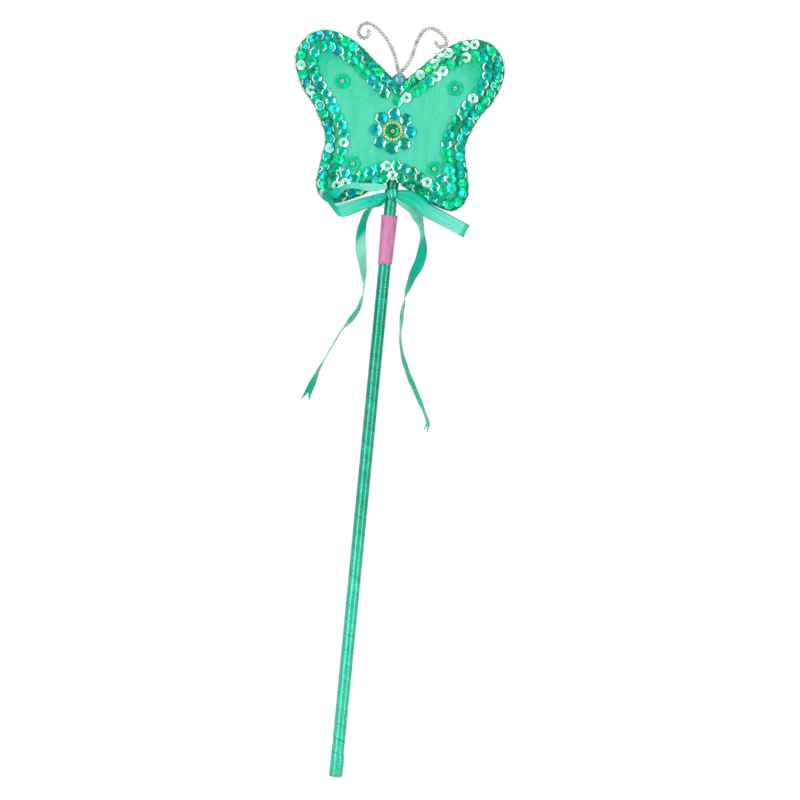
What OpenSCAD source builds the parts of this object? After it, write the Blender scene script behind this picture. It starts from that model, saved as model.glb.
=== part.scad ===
// A pretend-play butterfly wand: a dowel wound with satin ribbon, a padded head with sewn sequins,
// beaded wire antennae, a satin bow with two tails, and a loose label sleeve.
// Millimetres, +Z up along the stick from its lower end, the head's front towards -Y.

/* [Stick] */
// Diameter of the wooden dowel
dowel_d = 6; // [5:0.1:7]
// Height of the neck, where the stick enters the head
neck_z = 320; // [250:1:420]
// Length of the dowel inside the head
dowel_reach = 42; // [25:1:46]
// Width of the ribbon wound round the dowel
wrap_w = 7; // [5:0.1:9]
// Thickness of the wound ribbon
wrap_t = 0.2; // [0.15:0.01:0.3]
// Open seam between neighbouring turns
wrap_seam = 0.5; // [0.45:0.01:0.9]
// Length of the wound ribbon that is tucked into the head
wrap_tuck = 8; // [7:0.1:12]
// Length of the ribbon cap folded over the lower end
cap_l = 14; // [8:0.5:30]
// Thickness of the ribbon cap
cap_t = 0.25; // [0.15:0.01:0.5]
// Rounding of the cap's lower edge
cap_edge = 0.5; // [0.3:0.05:0.6]
// Chamfer on the dowel's ends
dowel_edge = 0.4; // [0.2:0.05:0.8]

/* [Label] */
// Length of the label sleeve
label_l = 26.5; // [15:0.5:40]
// Wall of the label sleeve
label_t = 0.3; // [0.2:0.01:0.6]
// Play between the label's lower edge and the wound ribbon
label_play = 0.15; // [0.1:0.01:0.4]
// How much the label opens out towards its upper edge, on the radius
label_flare = 0.5; // [0:0.05:1]
// Space between the label and the knot of the bow
label_drop = 9; // [5:0.5:80]

/* [Head] */
// Lean of the head to the left of the stick, in degrees
head_lean = 1.8; // [0:0.1:3]
// Span of the wings
head_span = 113; // [100:1:126]
// Height of the wings from their lowest to their highest point
head_h = 93; // [84:1:102]
// How far the lower wings hang below the neck
head_drop = 10.6; // [9:0.1:12]
// Half of the head's thickness at the crown
crown = 6; // [5.5:0.1:7.5]
// Thickness of the front and back cloth
cloth_t = 0.4; // [0.3:0.01:0.6]
// Width of the stitched edge that joins the two cloths
edge_w = 1.2; // [0.8:0.1:2]

/* [Sequins] */
// Diameter of a sequin
sequin_d = 5; // [4:0.1:6]
// Depth of a sequin's cup
sequin_cup = 0.7; // [0.4:0.05:1]
// Thickness of the sequin film
sequin_t = 0.15; // [0.1:0.01:0.25]
// Diameter of the flat in the middle of a sequin
sequin_flat = 2; // [1.6:0.1:2.6]
// Diameter of the stitch hole in a sequin
sequin_hole = 0.9; // [0.6:0.1:1.2]
// Distance from the wing's edge to the middle of the outer row
row_inset = 3.7; // [3.2:0.1:5]
// Distance between two rows
row_step = 5.2; // [4.5:0.1:6.5]
// Space that neighbouring sequins keep
sequin_gap = 0.2; // [0.1:0.05:0.6]

/* [Flower] */
// Distance of the flower to the right of the middle of the head
flower_side = -1.6; // [-2:0.1:2]
// Height of the flower above the middle of the head
flower_rise = 0.8; // [-2:0.1:2]
// Number of petal sequins
petal_n = 8; // [5:1:9]
// Diameter of a petal sequin
petal_d = 6; // [5:0.1:6.2]
// Radius of the ring of petal sequins
petal_ring = 9.3; // [8.6:0.1:10]
// Diameter of the cup sequin in the middle
cup_d = 7.2; // [6:0.1:7.4]
// Diameter of a bead in the ring round the cup
ring_bead_d = 1.3; // [1:0.1:1.5]
// Diameter of the bead in the middle
eye_bead_d = 1.9; // [1.5:0.1:2.4]
// Diameter of the thread hole in the small beads
bead_hole = 0.5; // [0.4:0.05:0.6]

/* [Wing spots] */
// How far an upper spot lies inwards from the wing's highest point
upper_spot_in = 9.6; // [7:0.1:12]
// How far an upper spot lies below the wing's highest point
upper_spot_down = 27.4; // [24:0.1:30]
// How far a lower spot lies inwards from the wing's lowest point
lower_spot_in = 11.6; // [9:0.1:13]
// How far a lower spot lies above the wing's lowest point
lower_spot_up = 21.6; // [19:0.1:24]
// Diameter across a spot's petals
spot_d = 8; // [6:0.2:9]
// Diameter of one petal of a spot
spot_petal_d = 2.8; // [2.4:0.1:3.2]
// Diameter of a spot's bead
spot_bead_d = 1.9; // [1.5:0.1:2.4]

/* [Antennae] */
// Diameter of the pearl bead at the top notch
pearl_d = 7.7; // [6:0.1:8.5]
// Height of the pearl bead's middle above the bottom of the top notch
pearl_rise = 2.6; // [1.5:0.1:4]
// Diameter of the hole through the pearl bead
pearl_hole = 1.2; // [1:0.1:1.6]
// Length of the twisted wire stem that shows under the pearl bead
stem_tail = 0.7; // [0.4:0.1:1.5]
// Diameter of the antenna wire
wire_d = 0.6; // [0.4:0.05:0.7]
// Diameter of an antenna bead
seed_d = 1.8; // [1.5:0.05:2]
// Space between two beads on the wire
seed_gap = 0.12; // [0.08:0.01:0.4]
// Play of the wire in a bead's hole
seed_play = 0.2; // [0.15:0.01:0.3]

/* [Bow] */
// How far the knot's middle lies below the neck
knot_drop = 4; // [3:0.1:8]
// Height of the ribbon band round the stick under the knot
band_h = 4.5; // [3:0.1:6]
// Thickness of that band
band_t = 0.6; // [0.4:0.05:1]
// Diameter of the knot
knot_d = 5.4; // [4.5:0.1:6]
// Width of the bow ribbon
ribbon_w = 7; // [5:0.1:8]
// Thickness of the bow ribbon
ribbon_t = 0.25; // [0.15:0.01:0.35]

/* [Fits] */
// Clearance between pieces that sit on one another
fit = 0.1; // [0.05:0.01:0.2]
// Clearance under sewn trim, and round pieces that bend or swing
seat = 0.3; // [0.2:0.01:0.5]

/* [Hidden] */
$fn = 48;

// Reach of a cut past the face that it opens
past = 1;

// Radii from the dowel outwards
turn_rings = 12;
dowel_r = dowel_d / 2;
wrap_in_r = (dowel_r + fit) / cos(180 / turn_rings);
wrap_r = wrap_in_r + wrap_t;
cap_in_r = wrap_r + fit;
cap_r = cap_in_r + cap_t;
label_low_r = wrap_r + label_play;
label_top_r = label_low_r + label_flare;
band_in_r = wrap_r + fit;
band_r = band_in_r + band_t;
neck_bore_r = wrap_r + fit;

// Heights along the stick
dowel_low_z = cap_t + fit;
dowel_top_z = neck_z + dowel_reach;
wrap_top_z = neck_z + wrap_tuck;
knot_z = neck_z - knot_drop;
label_top_z = knot_z - band_h / 2 - label_drop;
label_low_z = label_top_z - label_l;

// The helix of the wound ribbon: its slope, rise per turn and height on the stick
wrap_slope = asin((wrap_w + wrap_seam) / (2 * PI * wrap_r));
wrap_rise = (wrap_w + wrap_seam) / cos(wrap_slope);
wrap_tall = wrap_w / cos(wrap_slope);
wrap_low_z = dowel_low_z + fit + wrap_tall / 2;
wrap_rings = floor((wrap_top_z - wrap_tall / 2 - wrap_low_z) / wrap_rise * turn_rings);
wrap_ring = [
    for (i = [0 : wrap_rings])
        let (angle = -360 * i / turn_rings, mid = wrap_low_z + wrap_rise * i / turn_rings)
            [for (corner = [[wrap_r, -1], [wrap_r, 1], [wrap_in_r, 1], [wrap_in_r, -1]])
                [corner[0] * cos(angle), corner[0] * sin(angle), mid + corner[1] * wrap_tall / 2]]
];

// Outline of the right wings from the top notch round to the neck, as shares of half the span
// and of the height of the wings
wing_shape = [
    [0, 0.71], [0.2, 0.815], [0.45, 0.945], [0.71, 1], [0.915, 0.95], [1, 0.82], [0.93, 0.675],
    [0.78, 0.54], [0.67, 0.38], [0.705, 0.22], [0.72, 0.085], [0.595, 0], [0.36, 0.035],
    [0.14, 0.11], [0, 0.145]
];
// Points of that outline at the top of the upper wing and at the foot of the lower one
top_point = 3;
foot_point = 11;
wing_steps = 3;
function on_wing(share) = [share[0] * head_span / 2, share[1] * head_h - head_drop];
right_edge = [for (p = curve(wing_shape, wing_steps)) on_wing(p)];
last_edge = len(right_edge) - 1;
edge = concat(right_edge, [for (i = [last_edge - 1 : -1 : 1]) [-right_edge[i][0], right_edge[i][1]]]);
cloth_edge = inset(edge, edge_w + fit);

// Middle of the head, and how far the cloth reaches from it at each angle of its right half
head_mid = [0, (right_edge[0][1] + right_edge[last_edge][1]) / 2];
cloth_reach = [
    for (i = [0 : last_edge])
        let (d = cloth_edge[i] - head_mid) [atan2(d[1], abs(d[0])), norm(d)]
];
// Rings of the cushion as shares of that reach
cushion_rings = [1, 0.97, 0.9, 0.75, 0.45];
// Height and half width of the bulge that the stick makes in the cloth
bulge_r = neck_bore_r + cloth_t;
bulge_spread = 3;
bulge_w = bulge_spread * bulge_r;

// Sequins: a round bound that holds one, and its middle above the cloth
sequin_mid = seat + (sequin_cup + sequin_t) / 2;
sequin_bound = norm([sequin_d, sequin_cup + sequin_t]) / 2;
// Step of the search for places along a row
row_walk = 0.6;

// Places of the pearl bead, the flower and the spots, in the head's own frame
pearl_at = [0, -(cloth_t + seat + pearl_d / 2), right_edge[0][1] + pearl_rise];
flower_mid = head_mid + [flower_side, flower_rise];
stem_d = pearl_hole - 2 * fit;
wing_top = on_wing(wing_shape[top_point]);
wing_foot = on_wing(wing_shape[foot_point]);
upper_spot = wing_top - [upper_spot_in, upper_spot_down];
lower_spot = wing_foot + [-lower_spot_in, lower_spot_up];
spots = [for (p = [upper_spot, lower_spot], side = [-1, 1]) [side * p[0], p[1]]];
spot_petals = 6;
seed_hole = wire_d + 2 * seed_play;

// Routes of the antennae from the top of the pearl bead, to the side and upwards
antenna_left = [
    [-0.9, 0.6], [-2.4, 6.2], [-5, 12.2], [-8.6, 17.8], [-13.4, 22.6], [-18.4, 25.2], [-22, 24],
    [-23.6, 20.6], [-22.2, 17.6], [-19.4, 17.2], [-17.8, 19.6], [-18.8, 22.2]
];
antenna_right = [
    [1.1, 0.6], [4.2, 4.6], [6.4, 10], [8, 16.2], [11, 22.4], [15, 24.8], [19.6, 23], [23.2, 20],
    [24.4, 17], [22, 15], [19.2, 15.4], [18.2, 18]
];
wire_sides = 6;
wire_steps = 4;
// Places tried for a bead along each step of the wire, and the first of them that is used
bead_tries = 8;
bead_first = 6;

// The knot's middle, and where each side's ribbons come out of it
knot_at = [0, -(band_r + band_t), knot_z];
knot_side = knot_d / 2 + seat;

// Ribbon routes from the knot: sideways, depth, height, turn of the face in degrees, and the
// share of the ribbon's width that isn't gathered
loop_left_route = [
    [0, -0.9, -0.4, 90, 0.5], [-3, -2.1, -1.6, 90, 0.75], [-7, -3.7, -3.7, 90, 1],
    [-14.4, -4.9, -7.2, 90, 1], [-20.4, -5.1, -10, 92, 1], [-25, -4.5, -11, 95, 1],
    [-28.6, -3.8, -8.9, 95, 1], [-30, -3.6, -5.6, 90, 1], [-28.6, -3.9, -2.4, 75, 1],
    [-25, -4.6, 0.4, 48, 1], [-21, -5.2, 2.2, 30, 1], [-15.4, -4.6, 2.6, 45, 1],
    [-9.2, -3.4, 2.8, 55, 1], [-3, -1.5, 2.2, 65, 0.75], [0, 0.1, 1.2, 75, 0.5]
];
loop_right_route = [
    [0, -0.9, 0.2, 0, 0.5], [3.5, -1.9, -0.4, 0, 0.8], [7.5, -2.8, -1.3, 0, 1],
    [12.5, -3.4, -3.6, 0, 1], [16.5, -3.7, -6.9, 0, 1], [24, -3.9, -10.1, 0, 1],
    [32, -3.8, -13.3, 0, 1], [37.5, -3.3, -15.5, 0, 1], [39, -2.4, -16, 0, 1],
    [37.5, -1.6, -15.2, 0, 1], [32, -1.4, -12.9, 0, 1], [24, -1.4, -9.5, 0, 1],
    [16.5, -1.3, -6.2, 0, 1], [12.5, -1.1, -2.9, 0, 1], [7.5, -0.8, -0.7, 0, 1],
    [3.5, -0.2, 0.1, 0, 0.8], [0, 0.1, 0.8, 0, 0.5]
];
tail_left_route = [
    [0.4, 0.4, -2.2, 90, 0.3], [-2.8, 0.8, -4.4, 70, 0.7], [-6.6, 1, -7.6, 12, 1],
    [-9.3, 1, -11.6, 25, 1], [-10.9, 0.9, -17.5, 32, 1], [-11.2, 0.7, -24.5, 46, 1],
    [-10.6, 0.5, -31, 52, 1], [-8.4, 0.5, -42, 28, 1], [-7, 0.7, -52, 2, 1],
    [-8.6, 0.9, -62, -15, 1], [-11.8, 0.9, -68.5, -20, 1], [-16.8, 0.7, -75.5, -6, 1],
    [-21.8, 0.6, -86, -3, 1], [-26.2, 0.6, -96, 5, 1], [-29.4, 0.7, -104.5, 24, 1],
    [-32.4, 0.7, -113.5, 34, 1]
];
tail_right_route = [
    [-0.4, 0.4, -2.2, 90, 0.3], [4.2, 0.8, -4, 80, 0.75], [9.4, 1, -6.4, 62, 1],
    [12, 1, -10.2, 60, 1], [14, 1, -14.4, 28, 1], [15.6, 1, -19.5, 18, 1],
    [16.4, 0.9, -25, 34, 1], [16.4, 0.7, -30, 46, 1], [15.4, 0.6, -35.5, 50, 1],
    [12.4, 0.6, -43.5, 34, 1], [10, 0.8, -52.5, 10, 1], [9, 1, -60, -12, 1],
    [8.8, 1, -67, -12, 1], [9.1, 0.9, -76.5, -6, 1], [10.8, 0.8, -84.5, -12, 1],
    [15, 0.7, -95, -18, 1], [20.9, 0.7, -106, -18, 1], [26, 0.7, -115.5, -10, 1],
    [28.3, 0.7, -120.8, -12, 1], [27.5, 0.8, -125.2, -18, 1]
];
// Direction from which a ribbon's turn is counted: the depth, or along the right loop's width
depth_way = [0, 1, 0];
loop_right_way = [0.4, 0, 1];
ribbon_steps = 3;

// Smooth curve through knots, with a number of steps to each span
function knot_or_end(p, i) =
    i < 0 ? 2 * p[0] - p[1] : i >= len(p) ? 2 * p[len(p) - 1] - p[len(p) - 2] : p[i];
function span_point(a, b, c, d, t) =
    (2 * b + (c - a) * t + (2 * a - 5 * b + 4 * c - d) * t * t + (3 * b - a - 3 * c + d) * t * t * t) / 2;
function curve(p, steps) = [
    for (i = [0 : len(p) - 2], k = [0 : steps - 1])
        span_point(knot_or_end(p, i - 1), p[i], p[i + 1], knot_or_end(p, i + 2), k / steps),
    p[len(p) - 1]
];
function unit(v) = v / norm(v);
function part_of(list, from) = [for (i = [from : len(list) - 1]) list[i]];
function reversed(list) = [for (i = [len(list) - 1 : -1 : 0]) list[i]];

// A closed outline, clockwise from the front, moved inwards
function inset(p, by) = [
    for (i = [0 : len(p) - 1])
        let (way = unit(p[(i + 1) % len(p)] - p[(i + len(p) - 1) % len(p)]))
            p[i] + by * [way[1], -way[0]]
];

// Half thickness of the cushion at a share of its reach, and at a place on the head
function swell(share) = cloth_t + (crown - cloth_t) * sqrt(max(0, 1 - pow(share, 4)));
function reach_share(p) =
    let (d = p - head_mid) norm(d) / lookup(atan2(d[1], abs(d[0])), cloth_reach);
function bulge(p) = p[1] < dowel_reach ? bulge_r * pow(max(0, 1 - pow(p[0] / bulge_w, 2)), 2) : 0;
function cloth_y(p) = max(swell(min(1, reach_share(p))), bulge(p));
function cloth_point(p) = [p[0], -cloth_y(p), p[1]];
function cloth_normal(p, e = 0.5) =
    unit([
        (cloth_y(p - [e, 0]) - cloth_y(p + [e, 0])) / (2 * e),
        -1,
        (cloth_y(p - [0, e]) - cloth_y(p + [0, e])) / (2 * e)
    ]);

// Rings of the front cloth, a depth below its outside, and of the padding inside it
function ring_at(share) = [for (p = cloth_edge) head_mid + share * (p - head_mid)];
function cloth_ring(share, depth) = [
    for (q = ring_at(share)) [q[0], depth - fit / 2 - swell(share), q[1]]
];
function padding_ring(share, side) = [
    for (q = ring_at(share)) [q[0], side * (swell(share) - cloth_t - fit), q[1]]
];

// A sequin's seat on the cloth: the place, the middle of its bound and the bound's radius
function seat_at(p) = [p, cloth_point(p) + sequin_mid * cloth_normal(p), sequin_bound];
function is_free(s, taken) =
    min([for (t = taken) norm(s[1] - t[1]) - s[2] - t[2]]) >= sequin_gap;
function sew(places, taken, i = 0) =
    i >= len(places) ? taken
    : let (s = seat_at(places[i])) sew(places, is_free(s, taken) ? concat(taken, [s]) : taken, i + 1);
function walk(p) = [
    for (i = [0 : len(p) - 1])
        let (a = p[i], b = p[(i + 1) % len(p)], n = max(1, ceil(norm(b - a) / row_walk)))
            for (k = [0 : n - 1]) a + (b - a) * k / n
];
function row(number) = walk(inset(edge, row_inset + number * row_step));
function lower_row() = [
    for (p = row(2)) if (p[1] < lower_spot[1] && abs(p[0]) > lower_spot[0]) p
];
function flower_at(ring, turn) = flower_mid + ring * [sin(360 * turn), cos(360 * turn)];
function pearl_bound() = [[[0, 0], pearl_at, pearl_d / 2]];
function outer_row() = sew(row(0), pearl_bound());
function spot_bounds() = [for (p = spots) [p, cloth_point(p), spot_d / 2 + seat]];
function inner_row() = sew(concat(row(1), lower_row()), concat(spot_bounds(), outer_row()));

// Rings of a tube or ribbon and the triangles that close them. Opposite sides are cut along the
// same diagonal, so that the two faces of a twisted ribbon don't cross
function ring_faces(rings, sides) = [
    for (i = [0 : rings - 2], j = [0 : sides - 1])
        let (a = i * sides + j, b = i * sides + (j + 1) % sides)
            each j < sides / 2
                ? [[a, a + sides, b + sides], [a, b + sides, b]]
                : [[a, a + sides, b], [b, a + sides, b + sides]]
];
function end_faces(rings, sides) = [
    for (j = [1 : sides - 2])
        each [[0, j, j + 1], [(rings - 1) * sides, (rings - 1) * sides + j + 1, (rings - 1) * sides + j]]
];
function cone_faces(rings, sides) = [
    for (j = [0 : sides - 1])
        let (k = (j + 1) % sides, last = (rings - 1) * sides)
            each [[rings * sides, j, k], [rings * sides + 1, last + k, last + j]]
];
function heading(p, i) = unit(p[min(i + 1, len(p) - 1)] - p[max(i - 1, 0)]);
function place(row) = [row[0], row[1], row[2]];

// A flat ribbon's section: four corners round its middle, across and through the ribbon
function ribbon_section(across, through) = [
    for (c = [[1, -1], [1, 1], [-1, 1], [-1, -1]]) across * c[0] + through * c[1]
];
function ribbon_rings(route, way) =
    let (rows = curve(route, ribbon_steps), path = [for (r = rows) place(r)]) [
        for (i = [0 : len(rows) - 1])
            let (
                t = heading(path, i),
                a = unit(way - (way * t) * t),
                across = cos(rows[i][3]) * a + sin(rows[i][3]) * cross(t, a),
                through = cross(t, across),
                half_w = ribbon_w * rows[i][4] / 2
            )
                [for (p = ribbon_section(across * half_w, through * ribbon_t / 2)) path[i] + p]
    ];

// Antenna wire and the places of its beads, in the head's own frame
function antenna_path(route) = [
    for (p = curve(route, wire_steps)) pearl_at + [p[0], 0, pearl_d / 2 + seat + p[1]]
];
function wire_rings(path) = [
    for (i = [0 : len(path) - 1])
        let (t = heading(path, i), across = cross(t, depth_way))
            [for (j = [0 : wire_sides - 1])
                path[i] + wire_d / 2 * (cos(360 * j / wire_sides) * across
                    + sin(360 * j / wire_sides) * cross(t, across))]
];
function fine(path) = [
    for (i = [0 : len(path) - 2], k = [0 : bead_tries - 1])
        [path[i] + (path[i + 1] - path[i]) * k / bead_tries, unit(path[i + 1] - path[i])]
];
function has_room(place, placed) =
    len(placed) == 0 || norm(place[0] - placed[len(placed) - 1][0]) >= seed_d + seed_gap;
function thread(places, placed = [], i = 0) =
    i >= len(places) ? placed
    : thread(places, has_room(places[i], placed) ? concat(placed, [places[i]]) : placed, i + 1);

// The wound ribbon's least gap to its own next turn, measured between edge points
rings_beside = 3;
wrap_gap = min([
    for (i = [0 : turn_rings])
        for (k = [turn_rings - rings_beside : turn_rings + rings_beside])
            norm(wrap_ring[i][1] - wrap_ring[i + k][0])
]);
echo(least_gap_of_wound_ribbon = wrap_gap, turns = wrap_rings / turn_rings);

module solid_of(rings, apexes = []) {
    sides = len(rings[0]);
    points = [for (r = rings) each r];
    closing = len(apexes) > 0 ? cone_faces(len(rings), sides) : end_faces(len(rings), sides);
    polyhedron(concat(points, apexes), concat(ring_faces(len(rings), sides), closing));
}

// The head's own frame: its origin at the neck, leaning on the stick
module in_head() {
    translate([0, 0, neck_z]) rotate([0, -head_lean, 0]) children();
}

// Stands children on the cloth at a place, a height above it and facing outwards
module on_cloth(p, above) {
    n = cloth_normal(p);
    translate(cloth_point(p) + above * n) rotate([0, acos(n[2]), atan2(n[1], n[0])]) children();
}

module neck_bore() {
    translate([0, 0, neck_z - head_drop - past])
        cylinder(r = neck_bore_r, h = head_drop + past + wrap_tuck + fit);
}

module dowel_bore() {
    translate([0, 0, neck_z]) cylinder(r = dowel_r + fit, h = dowel_reach + fit);
}

module cup(d) {
    rotate_extrude()
        polygon([
            [sequin_hole / 2, 0], [sequin_flat / 2, 0], [d / 2, sequin_cup],
            [d / 2, sequin_cup + sequin_t], [sequin_flat / 2 - sequin_t / 2, sequin_t],
            [sequin_hole / 2, sequin_t]
        ]);
}

module bead(d, hole) {
    difference() {
        sphere(d = d);
        cylinder(d = hole, h = d + past, center = true);
    }
}

module sewn(seats) {
    in_head() for (s = seats) on_cloth(s[0], seat) cup(sequin_d);
}

module cloth_shell() {
    inner = [for (s = reversed(cushion_rings)) cloth_ring(s, cloth_t)];
    outer = [for (s = cushion_rings) cloth_ring(s, 0)];
    mids = [for (y = [cloth_t - crown, -crown]) [head_mid[0], y - fit / 2, head_mid[1]]];
    solid_of([for (r = concat(inner, outer)) reversed(r)], mids);
}

module cloth() {
    difference() {
        in_head() cloth_shell();
        neck_bore();
        dowel_bore();
    }
}

module padding_form() {
    shares = part_of(cushion_rings, 1);
    front = [for (s = reversed(shares)) padding_ring(s, -1)];
    back = [for (s = shares) padding_ring(s, 1)];
    mids = [for (side = [-1, 1]) [head_mid[0], side * (crown - cloth_t - fit), head_mid[1]]];
    solid_of(concat(front, back), mids);
}

module antenna_wire(route) {
    in_head() solid_of(wire_rings(antenna_path(route)));
}

module antenna_beads(route) {
    in_head()
        for (s = thread(part_of(fine(antenna_path(route)), bead_first)))
            translate(s[0])
                rotate([0, acos(s[1][2]), atan2(s[1][1], s[1][0])])
                    bead(seed_d, seed_hole);
}

module ribbon(route, side, way) {
    translate(knot_at + [side * knot_side, 0, 0]) solid_of(ribbon_rings(route, way));
}

module dowel() {
    color("burlywood")
        rotate_extrude()
            polygon([
                [0, dowel_low_z], [dowel_r - dowel_edge, dowel_low_z], [dowel_r, dowel_low_z + dowel_edge],
                [dowel_r, dowel_top_z - dowel_edge], [dowel_r - dowel_edge, dowel_top_z], [0, dowel_top_z]
            ]);
}

module stick_wrap() {
    color("mediumseagreen") solid_of(wrap_ring);
}

module stick_cap() {
    color("lightseagreen")
        difference() {
            rotate_extrude()
                difference() {
                    union() {
                        translate([0, cap_edge]) square([cap_r, cap_l - cap_edge]);
                        square([cap_r - cap_edge, cap_l]);
                        translate([cap_r - cap_edge, cap_edge]) circle(r = cap_edge);
                    }
                    translate([-cap_r, 0]) square([cap_r, cap_l]);
                }
            translate([0, 0, cap_t]) cylinder(r = cap_in_r, h = cap_l);
        }
}

module label_sleeve() {
    color("hotpink")
        rotate_extrude()
            polygon([
                [label_low_r, label_low_z], [label_low_r + label_t, label_low_z],
                [label_top_r + label_t, label_top_z], [label_top_r, label_top_z]
            ]);
}

module head_padding() {
    color("whitesmoke")
        difference() {
            in_head() padding_form();
            neck_bore();
            dowel_bore();
        }
}

module front_cloth() {
    color("aquamarine") cloth();
}

module back_cloth() {
    color("mediumaquamarine") mirror([0, 1, 0]) cloth();
}

module edge_stitching() {
    color("seagreen")
        difference() {
            in_head()
                rotate([90, 0, 0])
                    linear_extrude(2 * cloth_t, center = true)
                        difference() {
                            polygon(edge);
                            polygon(inset(edge, edge_w));
                        }
            neck_bore();
        }
}

module outer_sequins() {
    color("teal") sewn(part_of(outer_row(), 1));
}

module inner_sequins() {
    color("mediumturquoise") sewn(part_of(inner_row(), len(spots) + len(outer_row())));
}

module petal_sequins() {
    color("steelblue")
        in_head()
            for (i = [0 : petal_n - 1])
                on_cloth(flower_at(petal_ring, i / petal_n), seat) cup(petal_d);
}

module flower_cup() {
    color("limegreen") in_head() on_cloth(flower_at(0, 0), seat) cup(cup_d);
}

module flower_bead_ring() {
    ring = (cup_d + ring_bead_d) / 2 + fit;
    count = floor(180 / asin((ring_bead_d + fit) / (2 * ring)));
    color("gold")
        in_head()
            for (i = [0 : count - 1])
                on_cloth(flower_at(ring, i / count), seat + ring_bead_d / 2) bead(ring_bead_d, bead_hole);
}

module flower_eye_bead() {
    color("palegreen")
        in_head()
            on_cloth(flower_at(0, 0), seat + sequin_t + fit + eye_bead_d / 2) bead(eye_bead_d, bead_hole);
}

module spot_sequins() {
    middle_d = spot_d - spot_petal_d;
    color("springgreen")
        in_head()
            for (p = spots)
                on_cloth(p, seat)
                    linear_extrude(sequin_t)
                        difference() {
                            union() {
                                circle(d = middle_d);
                                for (i = [0 : spot_petals - 1])
                                    rotate(360 * i / spot_petals)
                                        translate([middle_d / 2, 0])
                                            circle(d = spot_petal_d);
                            }
                            circle(d = sequin_hole);
                        }
}

module spot_beads() {
    color("palegreen")
        in_head()
            for (p = spots)
                on_cloth(p, seat + sequin_t + fit + spot_bead_d / 2) bead(spot_bead_d, bead_hole);
}

module pearl_bead() {
    color("cadetblue") in_head() translate(pearl_at) bead(pearl_d, pearl_hole);
}

module antenna_stem() {
    color("silver")
        in_head()
            translate(pearl_at - [0, 0, pearl_d / 2 + stem_tail])
                cylinder(d = stem_d, h = pearl_d + stem_tail);
}

module antenna_left_wire() {
    color("silver") antenna_wire(antenna_left);
}

module antenna_left_beads() {
    color("gainsboro") antenna_beads(antenna_left);
}

module antenna_right_wire() {
    color("silver") antenna_wire(antenna_right);
}

module antenna_right_beads() {
    color("gainsboro") antenna_beads(antenna_right);
}

module bow_knot() {
    color("lightseagreen")
        difference() {
            union() {
                translate([0, 0, knot_z]) cylinder(r = band_r, h = band_h, center = true);
                translate(knot_at) sphere(d = knot_d);
            }
            translate([0, 0, knot_z]) cylinder(r = band_in_r, h = knot_d + past, center = true);
        }
}

module bow_loop_left() {
    color("mediumaquamarine") ribbon(loop_left_route, -1, depth_way);
}

module bow_loop_right() {
    color("mediumaquamarine") ribbon(loop_right_route, 1, loop_right_way);
}

module bow_tail_left() {
    color("aquamarine") ribbon(tail_left_route, -1, depth_way);
}

module bow_tail_right() {
    color("aquamarine") ribbon(tail_right_route, 1, depth_way);
}

dowel();
stick_wrap();
stick_cap();
label_sleeve();
head_padding();
front_cloth();
back_cloth();
edge_stitching();
outer_sequins();
inner_sequins();
petal_sequins();
flower_cup();
flower_bead_ring();
flower_eye_bead();
spot_sequins();
spot_beads();
pearl_bead();
antenna_stem();
antenna_left_wire();
antenna_left_beads();
antenna_right_wire();
antenna_right_beads();
bow_knot();
bow_loop_left();
bow_loop_right();
bow_tail_left();
bow_tail_right();
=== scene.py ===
"""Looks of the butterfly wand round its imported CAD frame. Lengths are millimetres until a mesh is made."""

import random
from math import atan2, copysign, cos, degrees, exp, hypot, pi, radians, sin, sqrt, tau

import bpy
import numpy as np
from mathutils import Matrix, Vector, noise
from mathutils.bvhtree import BVHTree


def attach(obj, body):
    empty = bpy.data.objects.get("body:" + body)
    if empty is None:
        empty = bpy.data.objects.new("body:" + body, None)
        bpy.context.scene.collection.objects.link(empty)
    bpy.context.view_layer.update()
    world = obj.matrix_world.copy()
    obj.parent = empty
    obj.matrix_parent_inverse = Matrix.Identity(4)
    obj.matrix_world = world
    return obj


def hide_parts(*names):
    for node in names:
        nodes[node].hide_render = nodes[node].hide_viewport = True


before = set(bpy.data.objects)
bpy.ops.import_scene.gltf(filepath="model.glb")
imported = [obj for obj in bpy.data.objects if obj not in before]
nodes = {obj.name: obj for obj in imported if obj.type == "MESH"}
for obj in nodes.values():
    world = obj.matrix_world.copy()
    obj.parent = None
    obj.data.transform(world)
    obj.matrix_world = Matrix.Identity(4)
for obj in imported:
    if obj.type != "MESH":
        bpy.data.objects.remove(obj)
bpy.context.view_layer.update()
scene = bpy.context.scene
rng = random.Random(7)
MM = 0.001

# Sizes that the CAD source has too
NECK_Z = 320
HEAD_SPAN, HEAD_H, HEAD_DROP, CROWN, CLOTH_T = 113, 93, 10.6, 6, 0.4
EDGE_W, ROW_INSET, ROW_STEP = 1.2, 3.7, 5.2
RIBBON_W, RIBBON_T = 7, 0.25
KNOT = Vector((0, -4.709, 316))
KNOT_SIDE = 3.0
WRAP_IN_R, WRAP_RISE, WRAP_TALL = 3.209, 8.022, 7.487
LABEL_Z, LABEL_L = 278.25, 26.5
PEARL, ANTENNA = Vector((0, -4.55, 58.03)), Vector((0, -4.55, 62.18))
FLOWER, FLOWER_PETALS, PETAL_RING, RING_BEADS = np.array((-1.6, 29.96)), 8, 9.3, 19
SPOTS = [(-30.5, 55), (30.5, 55), (-22, 11), (22, 11)]
HEAD = Matrix.Translation((0, 0, NECK_Z)) @ Matrix.Rotation(radians(-1.8), 4, "Y")


def placed(name, data):
    """A new object in the scene."""
    obj = bpy.data.objects.new(name, data)
    scene.collection.objects.link(obj)
    return obj


def meshed(name, points, faces):
    mesh = bpy.data.meshes.new(name)
    mesh.from_pydata(points, [], faces)
    return placed(name, mesh)


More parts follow.
